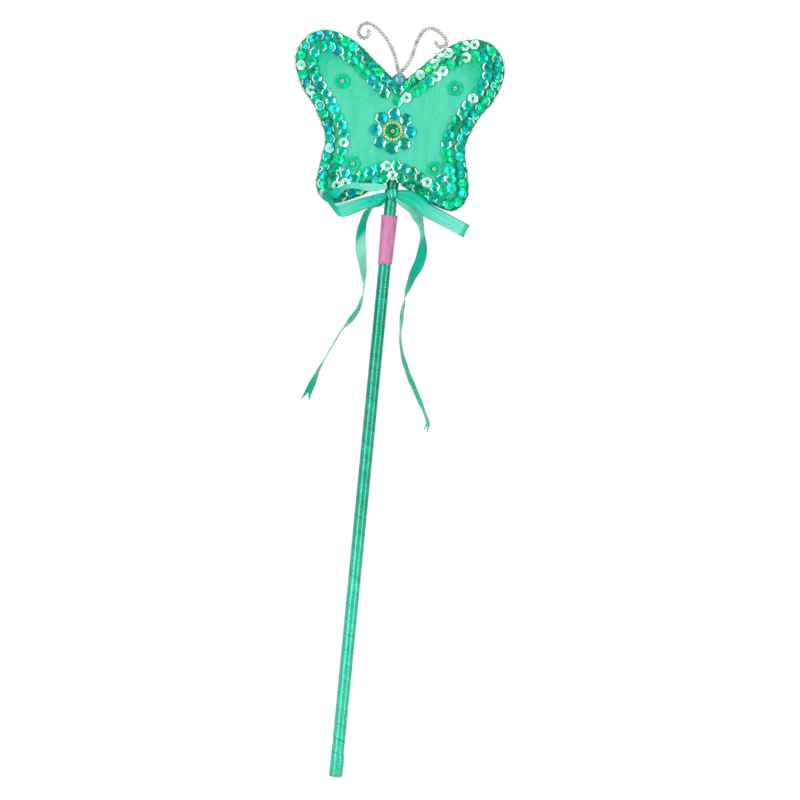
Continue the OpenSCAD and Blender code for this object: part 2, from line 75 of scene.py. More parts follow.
# The camera, turned so that the stick leans as in the photo
PHOTO_SPAN, CAMERA_FAR, TILT, SENSOR = 0.432, 4.0, radians(5.51), 36
camera = placed("camera", bpy.data.cameras.new("camera"))
camera.data.sensor_width = SENSOR
camera.data.lens = SENSOR * CAMERA_FAR / PHOTO_SPAN
camera.data.clip_end = 50
picture_right = Vector((cos(TILT), 0, sin(TILT)))
picture_up = Vector((-sin(TILT), 0, cos(TILT)))
turned = Matrix((picture_right, picture_up, Vector((0, -1, 0)))).transposed()
camera.matrix_world = Matrix.Translation((0.0152, -CAMERA_FAR, 0.206)) @ turned.to_4x4()
scene.camera = camera


def curve(points, steps):
    """Smooth curve through points of any dimension, with steps to each span."""
    p = [np.array(q, float) for q in points]
    p = [2 * p[0] - p[1], *p, 2 * p[-1] - p[-2]]
    out = []
    for a, b, c, d in zip(p, p[1:], p[2:], p[3:]):
        for k in range(steps):
            t = k / steps
            bend = (2 * a - 5 * b + 4 * c - d) * t**2 + (3 * b - a - 3 * c + d) * t**3
            out.append((2 * b + (c - a) * t + bend) / 2)
    return np.array(out + [p[-2]])


def lengths(points):
    """Length along a line of points, from its first point to each."""
    return np.r_[0, np.cumsum(np.linalg.norm(np.diff(points, axis=0), axis=1))]


def at_length(s, far, table):
    """A table's row at length s, where far is the length to each row."""
    return np.array([np.interp(s, far, column) for column in table.T])


def run(points, i):
    """How a line of points runs at one of them."""
    return points[min(i + 1, len(points) - 1)] - points[max(i - 1, 0)]


def crossed(way):
    """Two ways square to a way and to each other."""
    x = way.orthogonal().normalized()
    return x, way.cross(x)


def circle(middle, x, y, radius, sides):
    """Points round a middle, in the plane of two ways."""
    angles = [tau * j / sides for j in range(sides)]
    return [middle + radius * (cos(a) * x + sin(a) * y) for a in angles]


def smooth(low, high, value):
    """A soft step from 0 at low to 1 at high."""
    t = min(1, max(0, (value - low) / (high - low)))
    return t * t * (3 - 2 * t)


class Shell:
    """Points, faces, face tints, point uvs and the painted light and shade of each point, of one piece, in
    millimetres of the row frame.
    """

    def __init__(self):
        self.points, self.faces, self.tints, self.uvs, self.painted_lights = [], [], [], [], []

    def add(self, points, faces, tint=None, uvs=None, painted_lights=None):
        start = len(self.points)
        self.points += [tuple(p) for p in points]
        self.faces += [tuple(start + i for i in f) for f in faces]
        if tint is not None:
            self.tints += tint if isinstance(tint, list) else [tint] * len(faces)
        self.uvs += uvs or []
        self.painted_lights += painted_lights or []

    def grid(self, rows, around=False, along=False, tint=None, uvs=None, painted_lights=None):
        """Quads over rows of points, which may close around each row and along the rows."""
        n = len(rows[0])
        faces = []
        for i in range(len(rows) if along else len(rows) - 1):
            for j in range(n if around else n - 1):
                k, m = (i + 1) % len(rows), (j + 1) % n
                faces.append((i * n + j, i * n + m, k * n + m, k * n + j))
        self.add([p for r in rows for p in r], faces, tint, uvs, painted_lights)

    def close_ends(self, start, n):
        """Close the ring of n points at start, and the last ring."""
        last = len(self.points) - n
        self.faces += [tuple(start + j for j in reversed(range(n))), tuple(last + j for j in range(n))]

    def band(self, count, across, spot, closed=False):
        """A flat band, first in its shell, of count rings across its front and back across its rear.

        spot gives the point, uv and perhaps the painted light and shade for a ring, a side and a place
        across.
        """
        n = 2 * len(across)
        spots = [spot(i, side, v) for i in range(count) for side in (1, -1) for v in across[::side]]
        points, uvs, *painted_lights = (list(column) for column in zip(*spots))
        rows = [points[k:k + n] for k in range(0, len(points), n)]
        self.grid(rows, True, closed, None, uvs, *painted_lights)
        if closed:
            return
        last = len(points) - n
        for j in range(len(across) - 1):
            self.faces.append((j + 1, j, n - 1 - j, n - 2 - j))
            self.faces.append((last + j, last + j + 1, last + n - 2 - j, last + n - 1 - j))

    def tube(self, path, radius, sides, taper=1.0):
        """A round tube along a path, with both ends closed."""
        path = [Vector(p) for p in path]
        side = (path[1] - path[0]).orthogonal().normalized()
        rows = []
        for i, p in enumerate(path):
            t = run(path, i).normalized()
            side = (side - side.dot(t) * t).normalized()
            r = radius * (1 + (taper - 1) * i / (len(path) - 1))
            rows.append(circle(p, side, t.cross(side), r, sides))
        start = len(self.points)
        self.grid(rows, around=True)
        self.close_ends(start, sides)

    def bead(self, place, axis, wide, tall, hole, tint):
        """A rounded bead with a hole along its axis."""
        x, y = crossed(axis)
        sides, rings = 14, 9
        rows = []
        for k in range(rings):
            t = pi * (k / (rings - 1) - 0.5)
            r = hole / 2 + (wide - hole) / 2 * cos(t) ** 0.8
            rows.append(circle(place + axis * (tall / 2 * sin(t)), x, y, r, sides))
        self.grid(rows, around=True, along=True, tint=tint)

    def make(self, name, material, body, slot, stands_for=(), flat=False):
        """The piece in metres, with its body and CAD nodes; slot is not used."""
        obj = meshed(name, [[c * MM for c in p] for p in self.points], self.faces)
        mesh = obj.data
        mesh.materials.append(material)
        mesh.polygons.foreach_set("use_smooth", [not flat] * len(mesh.polygons))
        if self.uvs:
            corners = [i for f in self.faces for i in f]
            layer = mesh.uv_layers.new(name="uv")
            layer.uv.foreach_set("vector", np.array(self.uvs, np.float32)[corners].ravel())
        if self.tints:
            tint = mesh.attributes.new("tint", "FLOAT_COLOR", "CORNER")
            colours = [[*c, 1] for c, f in zip(self.tints, self.faces) for _ in f]
            tint.data.foreach_set("color", np.array(colours, np.float32).ravel())
        # Painted sheen and shade of each point, which the satin materials turn into paler and darker colour
        if self.painted_lights:
            mesh.attributes.new("painted_light", "FLOAT", "POINT").data.foreach_set("value", self.painted_lights)
        mesh.update()
        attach(obj, body)
        if stands_for:
            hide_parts(*stands_for)
        return obj


def srgb(r, g, b):
    """A colour as it shows on screen, from 0 to 255, made linear."""
    shares = [c / 255 for c in (r, g, b)]
    return tuple(c / 12.92 if c <= 0.04045 else ((c + 0.055) / 1.055) ** 2.4 for c in shares)


class Look:
    """A procedural material built round one Principled shader."""

    def __init__(self, name, **sockets):
        self.material = bpy.data.materials.new(name)
        self.material.use_nodes = True
        self.tree = self.material.node_tree
        self.shader = self.tree.nodes["Principled BSDF"]
        for key, value in sockets.items():
            socket = self.shader.inputs[key.replace("_", " ").title().replace("Ior", "IOR")]
            socket.default_value = (*value, 1) if isinstance(value, tuple) else value

    def node(self, kind, links=None, **values):
        made = self.tree.nodes.new("ShaderNode" + kind)
        for key, value in values.items():
            if hasattr(made, key):
                setattr(made, key, value)
            else:
                made.inputs[key.replace("_", " ").title()].default_value = value
        for key, source in (links or {}).items():
            self.tree.links.new(source, made.inputs[key])
        return made

    def noise(self, kind, scale, detail=2.0):
        place = self.node("TexCoord").outputs[kind]
        place = self.node("Mapping", {"Vector": place}, scale=scale).outputs["Vector"]
        return self.node("TexNoise", {"Vector": place}, scale=1.0, detail=detail).outputs["Fac"]

    def ramp(self, factor, stops):
        made = self.node("ValToRGB", {"Fac": factor})
        ramp = made.color_ramp
        while len(ramp.elements) < len(stops):
            ramp.elements.new(0.5)
        for element, (at, colour) in zip(ramp.elements, stops):
            element.position = at
            element.color = (*colour, 1) if isinstance(colour, tuple) else (colour, colour, colour, 1)
        return made.outputs["Color"]

    def mix(self, factor, a, b, blend="MIX"):
        made = self.node("Mix", data_type="RGBA", blend_type=blend)
        for i, value in ((0, factor), (6, a), (7, b)):
            if isinstance(value, (int, float)):
                made.inputs[i].default_value = value
            else:
                self.tree.links.new(value, made.inputs[i])
        return made.outputs[2]

    def attribute(self, name, output):
        return self.node("Attribute", attribute_name=name).outputs[output]

    def colour(self, source):
        self.tree.links.new(source, self.shader.inputs["Base Color"])

    def rough(self, source, low, high):
        scaled = self.node("MapRange", {"Value": source}, to_min=low, to_max=high).outputs["Result"]
        self.tree.links.new(scaled, self.shader.inputs["Roughness"])
        return self

    def bump(self, source, strength, distance):
        made = self.node("Bump", {"Height": source}, strength=strength, distance=distance)
        self.tree.links.new(made.outputs["Normal"], self.shader.inputs["Normal"])


def bow_satin():
    """Satin ribbon with fine threads along it, paler and darker with the painted sheen and shade of each
    point.
    """
    look = Look("bow_satin", metallic=0.05, specular_ior_level=0.15)
    threads = look.noise("UV", (2.4, 0.12, 1))
    slow = look.noise("UV", (0.7, 0.05, 1))
    shade = look.mix(0.6, look.mix(0.62, threads, slow), look.attribute("painted_light", "Fac"))
    stops = [(0.26, srgb(0, 160, 132)), (0.45, srgb(4, 206, 172)), (0.68, srgb(150, 246, 222))]
    look.colour(look.ramp(shade, stops))
    look.rough(slow, 0.36, 0.46).bump(slow, 0.1, 0.0001)
    return look.material


def wrap_satin():
    """The stick's ribbon: grainy satin, with threads that run round the stick, paler and darker with its
    painted sheen and shade.
    """
    look = Look("wrap_satin", metallic=0.3, specular_ior_level=0.5)
    threads = look.noise("UV", (2.2, 0.7, 1))
    grain = look.noise("UV", (1.5, 1.3, 1))
    slow = look.noise("UV", (0.12, 0.03, 1))
    weave = look.mix(0.3, look.mix(0.5, threads, grain), slow)
    shade = look.mix(0.5, weave, look.attribute("painted_light", "Fac"))
    stops = [(0.24, srgb(0, 84, 66)), (0.42, srgb(0, 156, 124)), (0.56, srgb(76, 226, 190))]
    look.colour(look.ramp(shade, stops))
    look.rough(grain, 0.2, 0.32).bump(threads, 0.5, 0.00014)
    return look.material


def head_satin():
    """Mint cloth with a crossed weave and faint slubs, painted greener towards the stitched edge as light
    tinted by the sequins and shade under them.
    """
    look = Look("head_satin", sheen_weight=0.06, sheen_roughness=0.4, specular_ior_level=0.3)
    warp = look.noise("Object", (2200, 900, 420))
    weft = look.noise("Object", (420, 900, 2200))
    slub = look.noise("Object", (260, 60, 50), 3.0)
    weave = look.mix(0.5, warp, weft)
    shade = look.mix(0.36, weave, slub)
    field = look.ramp(shade, [(0.36, srgb(56, 212, 168)), (0.64, srgb(94, 230, 194))])
    # Painted green near the edge, standing for light tinted by the sequins and shade under them
    sequin_light_and_shade = look.ramp(weave, [(0.35, srgb(0, 172, 124)), (0.65, srgb(14, 222, 172))])
    rim = look.ramp(look.attribute("painted_light", "Fac"), [(0.0, 0.0), (0.66, 0.0), (0.8, 0.85), (1.0, 1.0)])
    look.colour(look.mix(rim, field, sequin_light_and_shade))
    look.rough(weave, 0.42, 0.6).bump(weave, 0.4, 0.0001)
    return look.material


def tinted(name, rough, metallic, **sockets):
    """Film or glass in the tint of each facet or bead, painted glints included, a little clouded."""
    look = Look(name, metallic=metallic, **sockets)
    cloud = look.noise("Object", (900, 900, 900))
    tone = look.ramp(cloud, [(0.3, 0.86), (0.7, 1.0)])
    look.colour(look.mix(1.0, look.attribute("tint", "Color"), tone, "MULTIPLY"))
    look.rough(cloud, rough - 0.04, rough + 0.08)
    return look.material


def thread(name, deep, pale):
    """Fibres between a deep and a pale colour."""
    look = Look(name, sheen_weight=0.2, sheen_roughness=0.5, specular_ior_level=0.35)
    fibre = look.noise("Object", (2600, 2600, 2600))
    look.colour(look.ramp(fibre, [(0.35, deep), (0.65, pale)]))
    look.rough(fibre, 0.5, 0.75).bump(fibre, 0.4, 0.00008)
    return look.material


def coated(name, deep, pale, rough, metallic, scale=620, **sockets):
    """Smooth plastic or metal, softly clouded between two colours."""
    look = Look(name, metallic=metallic, **sockets)
    cloud = look.noise("Object", (scale, scale, scale))
    look.colour(look.ramp(cloud, [(0.36, deep), (0.64, pale)]))
    look.rough(cloud, rough, rough + 0.08)
    return look.material


BOW_SATIN, WRAP_SATIN = bow_satin(), wrap_satin()

# The bow's routes from the knot: right, back, up, turn in degrees and share of the full width
TAIL_LEFT = [
    (0.4, 0.4, -2.2, 90, 0.3), (-2.8, 0.8, -4.4, 70, 0.7), (-6.6, 1, -7.6, 12, 1),
    (-9.3, 1, -11.6, 25, 1), (-10.9, 0.9, -17.5, 32, 1), (-11.2, 0.7, -24.5, 46, 1),
    (-10.6, 0.5, -31, 52, 1), (-8.4, 0.5, -42, 28, 1), (-7, 0.7, -52, 2, 1),
    (-8.6, 0.9, -62, -15, 1), (-11.8, 0.9, -68.5, -20, 1), (-16.8, 0.7, -75.5, -6, 1),
    (-21.8, 0.6, -86, -3, 1), (-26.2, 0.6, -96, 5, 1), (-29.4, 0.7, -104.5, 24, 1),
    (-32.4, 0.7, -113.5, 34, 1),
]
TAIL_RIGHT = [
    (-0.4, 0.4, -2.2, 90, 0.3), (4.2, 0.8, -4, 80, 0.75), (9.4, 1, -6.4, 62, 1),
    (12, 1, -10.2, 60, 1), (14, 1, -14.4, 28, 1), (15.6, 1, -19.5, 18, 1),
    (16.4, 0.9, -25, 34, 1), (16.4, 0.7, -30, 46, 1), (15.4, 0.6, -35.5, 50, 1),
    (12.4, 0.6, -43.5, 34, 1), (10, 0.8, -52.5, 10, 1), (9, 1, -60, -12, 1),
    (8.8, 1, -67, -12, 1), (9.1, 0.9, -76.5, -6, 1), (10.8, 0.8, -84.5, -12, 1),
    (15, 0.7, -95, -18, 1), (20.9, 0.7, -106, -18, 1), (26, 0.7, -115.5, -10, 1),
    (28.3, 0.7, -120.8, -12, 1), (27.5, 0.8, -125.2, -18, 1),
]
LOOP_RIGHT = [
    (0, -0.9, 0.2, 0, 0.5), (3.5, -1.9, -0.4, 0, 0.8), (7.5, -2.8, -1.3, 0, 1),
    (12.5, -3.4, -3.6, 0, 1), (16.5, -3.7, -6.9, 0, 1), (24, -3.9, -10.1, 0, 1),
    (32, -3.8, -13.3, 0, 1), (37.5, -3.3, -15.5, 0, 1), (39, -2.4, -16, 0, 1),
    (37.5, -1.6, -15.2, 0, 1), (32, -1.4, -12.9, 0, 1), (24, -1.4, -9.5, 0, 1),
    (16.5, -1.9, -6.2, 0, 1), (12.5, -1.9, -2.9, 0, 1), (7.5, -1.6, -0.7, 0, 1),
    (3.5, -0.8, 0.3, 0, 0.8), (0, 0.1, 0.8, 0, 0.5),
]
# The left loop's lower and upper edge, which turn a sharp corner at its far end
LOOP_LEFT_EDGES = [
    (-2.1, -0.8, -1.5, -2.3, -0.8, 0.7), (-6.7, -2.6, -6.2, -6.4, -2.6, 0),
    (-11.1, -4.2, -8.3, -11.7, -4.2, -2.1), (-16.8, -5.6, -11.2, -17.5, -5.6, -4.2),
    (-21.8, -6.4, -13.9, -23.2, -6.4, -6.6),
    (-25.7, -6.8, -14.9, -28.3, -6.8, -8.6), (-28.1, -6.6, -13.9, -29.4, -7.0, -9.0),
    (-31.4, -6.0, -10.3, -30.4, -7.2, -7.3), (-34.6, -5.2, -6.8, -32.0, -7.0, -4.6),
    (-37.2, -4.8, -4.2, -33.8, -6.4, -3.3), (-37.1, -5.0, -3.2, -34.7, -5.2, -2.6),
    (-33.9, -5.8, -4.1, -34.0, -4.2, -2.0), (-29.2, -6.2, -5.1, -31.9, -3.4, -0.8),
    (-27.7, -6.2, -3.3, -29.1, -3.0, 0.7), (-25.4, -6.0, -0.5, -26.0, -2.8, 2.2),
    (-21.9, -5.8, 0.9, -22.8, -2.6, 3.4), (-18.6, -5.4, 1.0, -19.6, -2.4, 4.3),
    (-14.6, -4.6, 0.3, -15.0, -2.2, 4.6), (-9.4, -3.4, 0.7, -9.8, -1.8, 4.9),
    (-4.9, -1.8, 2.0, -5.2, -1.2, 5.0), (-2.5, -0.4, 2.6, -2.7, -0.4, 4.6),
]
# Painted sheen and shade along each ribbon: length from the knot, and how pale it is
PAINTED_SHEEN = {
    "tail_left": [(0, 0.4), (14, 0.3), (24, 0.34), (29, 0.94), (44, 0.82), (56, 0.3), (90, 0.32), (125, 0.4)],
    "tail_right": [(0, 0.74), (22, 0.78), (30, 0.36), (44, 0.34), (75, 0.32), (110, 0.34), (143, 0.46)],
    "loop_left": [(0, 0.3), (14, 0.46), (27, 0.6), (32, 0.22), (42, 0.14), (48, 0.4), (58, 0.68), (80, 0.74)],
    "loop_right": [(0, 0.3), (12, 0.42), (28, 0.64), (40.4, 0.7), (40.8, 0.5), (45, 0.4)],
}
TAIL_LEAN = 3.5  # how far the sheen on a tail runs ahead at the ribbon's right edge
DEPTH_WAY, LOOP_RIGHT_WAY = Vector((0, 1, 0)), Vector((0.4, 0, 1))


class Ribbon:
    """A satin ribbon between two edges, pleated where the knot holds it."""

    def __init__(self, middles, halves, gathers, held_ends):
        throughs = [run(middles, i).cross(h).normalized() for i, h in enumerate(halves)]
        self.path = middles
        self.table = np.array([(*m, *h, *t, g) for m, h, t, g in zip(middles, halves, throughs, gathers)])
        self.far = lengths(np.array(middles))
        self.length = float(self.far[-1])
        self.end_way = np.array((middles[-1] - middles[-2]).normalized())
        self.held_ends = held_ends

    @classmethod
    def on_route(cls, route, side, way, held_ends=1):
        """A ribbon along a route from one side of the knot, its width along way before it turns."""
        rows = curve(route, 10)
        base = KNOT + Vector((side * KNOT_SIDE, 0, 0))
        middles = [base + Vector(r[:3]) for r in rows]
        halves = []
        for i, r in enumerate(rows):
            t = run(middles, i).normalized()
            a = (way - way.dot(t) * t).normalized()
            angle = radians(r[3])
            halves.append((cos(angle) * a + sin(angle) * t.cross(a)) * (r[4] * RIBBON_W / 2))
        return cls(middles, halves, rows[:, 4], held_ends)

    @classmethod
    def between(cls, edges):
        """A loop of ribbon between two edges."""
        rows = curve(edges, 8)
        middles = [KNOT + Vector((r[:3] + r[3:]) / 2) for r in rows]
        halves = [Vector((r[3:] - r[:3]) / 2) for r in rows]
        gathers = [min(1, 2 * h.length / RIBBON_W) for h in halves]
        return cls(middles, halves, gathers, 2)

    def at(self, s, u, lift):
        """The point at length s, at u from -1 to 1 across, lifted off the middle of the ribbon."""
        row = at_length(s, self.far, self.table)
        near = s if self.held_ends == 1 else min(s, self.length - s)
        pleat = 0.42 * (1 - row[9]) * exp(-near / 12) + 0.16 * exp(-near / 10)
        fold = pleat * (0.7 * cos(8.4 * u + 0.6) + 0.3 * cos(14 * u))
        wave = 0.1 * sin(s * 0.55 + 2 * u) * smooth(4, 14, near)
        hem = 1 + 0.4 * smooth(0.86, 0.95, abs(u))
        beyond = self.end_way * max(0, s - self.length)
        return row[:3] + beyond + row[3:6] * u + row[6:9] * (fold + wave + lift * hem)

    def make(self, name, body, fork=0.0, slant=0.0, tip=0.0, lean=0.0, count=160):
        """The ribbon as a flat band of count rings, forked or slanting at its free end."""
        inner = 17
        across = [sin(pi / 2 * (2 * j / (inner - 1) - 1)) * 0.985 for j in range(inner)]
        across = [-1, *across, 1]
        sheen = np.array(PAINTED_SHEEN[name])

        def spot(i, side, u):
            reach = self.length + tip - fork * (1 - abs(u)) - slant * (1 + u) / 2
            s = i / (count - 1) * reach
            # Painted sheen from the table, with less of it towards the ribbon's edges as painted shade
            edge_shade = 0.14 * smooth(0.8, 1, abs(u))
            painted_light = float(np.interp(s + lean * u, sheen[:, 0], sheen[:, 1])) - edge_shade
            return self.at(s, u, side * RIBBON_T / 2), (u * RIBBON_W / 2, s), painted_light

        shell = Shell()
        shell.band(count, across, spot)
        return shell.make(f"{name}_ribbon", BOW_SATIN, body, "bow_satin", [f"bow_{name}"])


# Each tail's route, side of the knot, depth of fork, slant of the end and reach of its tips
TAILS = {"left": (TAIL_LEFT, -1, 4.6, 1.2, 1.8), "right": (TAIL_RIGHT, 1, 3.4, 0.0, 0.0)}
for name, (route, side, fork, slant, tip) in TAILS.items():
    tail = Ribbon.on_route(route, side, DEPTH_WAY)
    tail.make(f"tail_{name}", f"{name}_tail", fork=fork, slant=slant, tip=tip, lean=TAIL_LEAN, count=240)
    [p * MM for p in tail.path]
Ribbon.between(LOOP_LEFT_EDGES).make("loop_left", "wand")
Ribbon.on_route(LOOP_RIGHT, 1, LOOP_RIGHT_WAY, held_ends=2).make("loop_right", "wand")


def knot_band(shell):
    """The ribbon band round the stick."""
    around, radius, half_tall, thick = 64, 4.1, 2.3, 0.5

    def spot(i, side, v):
        a = -tau * i / around
        fold = 0.16 * cos(5.5 * v + 1.3 * sin(a)) - 0.25 * v * v
        r = radius + (fold if side == 1 else -thick)
        z = KNOT.z + half_tall * v + 0.35 * sin(a + 0.5)
        return (r * cos(a), r * sin(a), z), (v * RIBBON_W / 2, a * radius), 0.42

    shell.band(around, np.linspace(-1, 1, 17), spot, closed=True)


def knot_lump(shell):
    """The folded lump of the knot in front of the band."""
    tall, around = 27, 56
    rows, uvs, painted_lights = [], [], []
    for i in range(tall):
        b = pi * ((i + 0.5) / tall - 0.5)
        flat = cos(b) ** 0.45
        row = []
        for j in range(around):
            a = tau * j / around
            square = (abs(cos(a)) ** 3 + abs(sin(a)) ** 3) ** (-1 / 3)
            fold = 0.14 * cos(7 * a + 1.4 * sin(2 * b)) + 0.07 * cos(12 * a - 2 * b)
            x = 0.3 + (2.5 + fold) * flat * square * cos(a)
            y = KNOT.y - 1.1 + (1.5 + fold) * flat * square * sin(a)
            row.append((x, y, KNOT.z + 0.4 + 2.4 * sin(b) + 0.25 * cos(a)))
            uvs.append((a * 2.2, b * 2.6))
            # Painted highlight on the ridges of the folds and painted shade in their hollows
            painted_lights.append(0.45 + 1.6 * fold)
        rows.append(row)
    start = len(shell.points)
    shell.grid(rows, around=True, uvs=uvs, painted_lights=painted_lights)
    shell.close_ends(start, around)


def wound_ribbon():
    """Ribbon wound left-handed up the stick, each turn's lower edge lying on the turn below."""
    per_turn, across = 40, [0, 0.012, 0.06, 0.12, 0.24, 0.5, 0.8, 0.988, 1]
    low = 0.45 + WRAP_TALL / 2
    turns = (NECK_Z + 13 - WRAP_TALL / 2 - low) / WRAP_RISE

    def spot(i, side, v):
        a = -tau * i / per_turn + 1.8
        middle = low + WRAP_RISE * i / per_turn
        raised = 0.03 + 0.07 * (1 - smooth(30, 42, middle))
        lap = raised * (1 - smooth(0, 0.22, v)) + 0.05 * sin(i * 0.21) * v * (1 - v)
        r = WRAP_IN_R + 0.15 + lap + (0.02 if side == 1 else -0.06)
        z = middle + (v - 0.5) * (WRAP_TALL + 0.9)
        # Painted shadow under each turn's lower edge, deepest low on the stick; painted sheen that is paler
        # towards the bottom, and painted shade just under the head
        lap_shade = (0.1 + 0.24 * (1 - smooth(24, 34, middle))) * (1 - smooth(0, 0.1, v))
        painted_light = 0.52 - 0.2 * smooth(30, 230, z) - 0.12 * smooth(316, 320, z) - lap_shade
        return (r * cos(a), r * sin(a), max(0.4, z)), (v * RIBBON_W, -a * 3.4), painted_light

    shell = Shell()
    shell.band(int(turns * per_turn) + 1, across, spot)
    shell.make("wound_ribbon", WRAP_SATIN, "wand", "wrap_satin", ["stick_wrap"])


def ribbon_cap():
    """The doubled ribbon over the lower end: folded under, with a slanting upper edge."""
    shell = Shell()
    around, wall, radius = 64, 21, 3.7
    foot = [(0.3, 0.06), (1.6, 0.02), (2.8, 0.1), (3.5, 0.35), (3.74, 0.9)]
    rows = []
    for k in range(len(foot) + wall):
        row = []
        for j in range(around):
            a = tau * j / around
            if k < len(foot):
                r, z = foot[k]
                z += 0.1 * abs(sin(2.5 * a + 0.4)) * smooth(0, 2, r)
            else:
                up = (k - len(foot) + 1) / wall
                z = 0.9 + (12.5 + 0.55 * sin(a - 0.6)) * up
                bulge = 0.16 * cos(a) + 0.06 * cos(3 * a + 1)
                r = radius + bulge * sin(pi * up) - 0.24 * smooth(0.78, 1, up)
            row.append((r * cos(a), r * sin(a), z))
        rows.append(row)
    uvs = [(row[j][2], tau * j / around * radius) for row in rows for j in range(around)]
    rim = [(x * 0.94, y * 0.94, z) for x, y, z in rows[-1]]
    for row in (rim, [(x, y, 1.0) for x, y, _ in rim]):
        rows.append(row)
        uvs += [(z, atan2(y, x) * radius) for x, y, z in row]
    shell.grid(rows, around=True, uvs=uvs, painted_lights=[0.52] * len(uvs))
    shell.close_ends(0, around)
    shell.make("ribbon_cap", WRAP_SATIN, "wand", "wrap_satin", ["stick_cap"])


def label():
    """A bare satin label rolled once round the stick, its end lapped at the back."""
    look = Look("label_satin", sheen_weight=0.2, sheen_roughness=0.4, specular_ior_level=0.4)
    weave = look.noise("UV", (2.5, 6, 1))
    slow = look.noise("UV", (0.25, 0.12, 1))
    stops = [(0.38, srgb(208, 114, 166)), (0.62, srgb(240, 156, 201))]
    look.colour(look.ramp(look.mix(0.5, weave, slow), stops))
    look.rough(weave, 0.45, 0.62).bump(weave, 0.3, 0.0001)
    around, turn, radius = 72, radians(385), 3.7

    def spot(i, side, v):
        f = i / around
        a = pi * 1.5 - turn * (f - 0.5)
        lap = 0.32 * smooth(0.9, 1.0, f)
        flare = 0.5 * v + 0.12 * smooth(0.9, 1, v) + 0.1 * cos(2 * a) * v
        r = radius + flare + lap + side * 0.11
        z = LABEL_Z + LABEL_L * v + 0.18 * cos(a)
        return (0.05 + r * cos(a), r * sin(a), z), (f * 24, v * LABEL_L)

    shell = Shell()
    shell.band(around + 1, [k / 24 for k in range(25)], spot)
    shell.make("label_roll", look.material, "label", "label_satin", ["label_sleeve"])


knot = Shell()
knot_band(knot)
knot_lump(knot)
knot.make("knot_ribbon", BOW_SATIN, "wand", "bow_satin", ["bow_knot"])
wound_ribbon()
ribbon_cap()
label()

# The head's outline: its right half as shares of the half span and of the height, from notch to neck
WING = [
    (0, 0.71), (0.2, 0.815), (0.45, 0.945), (0.71, 1), (0.915, 0.95), (1, 0.82), (0.93, 0.675),
    (0.78, 0.54), (0.67, 0.38), (0.705, 0.22), (0.72, 0.085), (0.595, 0), (0.36, 0.035),
    (0.14, 0.11), (0, 0.145),
]
right_edge = curve(WING, 12) * [HEAD_SPAN / 2, HEAD_H] - [0, HEAD_DROP]
EDGE = np.vstack([right_edge, right_edge[-2:0:-1] * [-1, 1]])
closed_edge = np.vstack([EDGE, EDGE[:1]])
edge_far = lengths(closed_edge)


def inset(outline, by):
    """An outline moved inwards."""
    way = np.roll(outline, -1, 0) - np.roll(outline, 1, 0)
    way /= np.linalg.norm(way, axis=1)[:, None]
    return outline + by * np.stack([way[:, 1], -way[:, 0]], 1)


CLOTH_EDGE = inset(EDGE, EDGE_W + 0.1)
HEAD_MID = np.array([0, (right_edge[0][1] + right_edge[-1][1]) / 2])
from_mid = CLOTH_EDGE[: len(right_edge)] - HEAD_MID
REACH_ANGLES = np.degrees(np.arctan2(from_mid[:, 1], np.abs(from_mid[:, 0])))[::-1]
REACH = np.linalg.norm(from_mid, axis=1)[::-1]
NOTCH_Z, BULGE_R = right_edge[0][1], 3.91


def reach_share(x, z):
    """Share of the way from the head's middle to its cloth's edge."""
    d = np.array((x, z)) - HEAD_MID
    angle = degrees(atan2(d[1], abs(d[0])))
    return float(np.linalg.norm(d) / np.interp(angle, REACH_ANGLES, REACH))


def stuffed_height(x, z, share):
    """How far the stuffing holds the cloth off the head's middle plane, with the stick's bulge."""
    swell = CLOTH_T + (CROWN - CLOTH_T) * sqrt(max(0, 1 - share**4))
    bulge = BULGE_R * max(0, 1 - (x / (2.4 * BULGE_R)) ** 2) ** 2 if z < 42 else 0
    crease = 0.22 * noise.noise(Vector((x * 0.09, z * 0.05, 3.1)))
    return max(swell, bulge) + crease * (1 - share**6)


def plain_pouch():
    """Points and faces of the pouch before its cloth settles, in the head's own frame."""
    shares = [1, 0.985, 0.96, 0.93, 0.9, 0.865, 0.82, 0.765, 0.7, 0.62, 0.53, 0.43, 0.32, 0.2, 0.09]
    shell = Shell()
    rows = []
    for side, ring in [(-1, s) for s in shares[::-1]] + [(1, s) for s in shares[1:]]:
        places = HEAD_MID + ring * (CLOTH_EDGE - HEAD_MID)
        rows.append([(x, side * stuffed_height(x, z, ring), z) for x, z in places])
    shell.grid(rows, around=True)
    shell.close_ends(0, len(EDGE))
    return shell


def worked_mesh(obj):
    """Points and faces of an object as its modifiers leave it. The object itself goes."""
    mesh = obj.evaluated_get(bpy.context.evaluated_depsgraph_get()).data
    points = [v.co.copy() for v in mesh.vertices]
    faces = [tuple(p.vertices) for p in mesh.polygons]
    bpy.data.objects.remove(obj)
    return points, faces


def gathered(p, share):
    """A point of the cloth, puffed out between the gathers that the seam pulls into it."""
    near = int(np.argmin(np.hypot(EDGE[:, 0] - p.x, EDGE[:, 1] - p.z)))
    puff = 0.5 + 0.5 * sin(edge_far[near] * 1.05 + 1.7 * sin(edge_far[near] * 0.13))
    depth = 0.32 if p.y > 0 else 0.12
    held = smooth(0.68, 0.86, share) * (1 - smooth(0.92, 0.985, share))
    return p + Vector((0, copysign(depth * puff * held, p.y), 0))


BIG = 0.1  # metres to a millimetre while the cloth settles, at 100 times its real size
VOXEL, SEAM_SHARE, FRAMES, MOST_MOVE, MOST_SUNK = 1.1, 0.965, 20, 1.1, 0.15


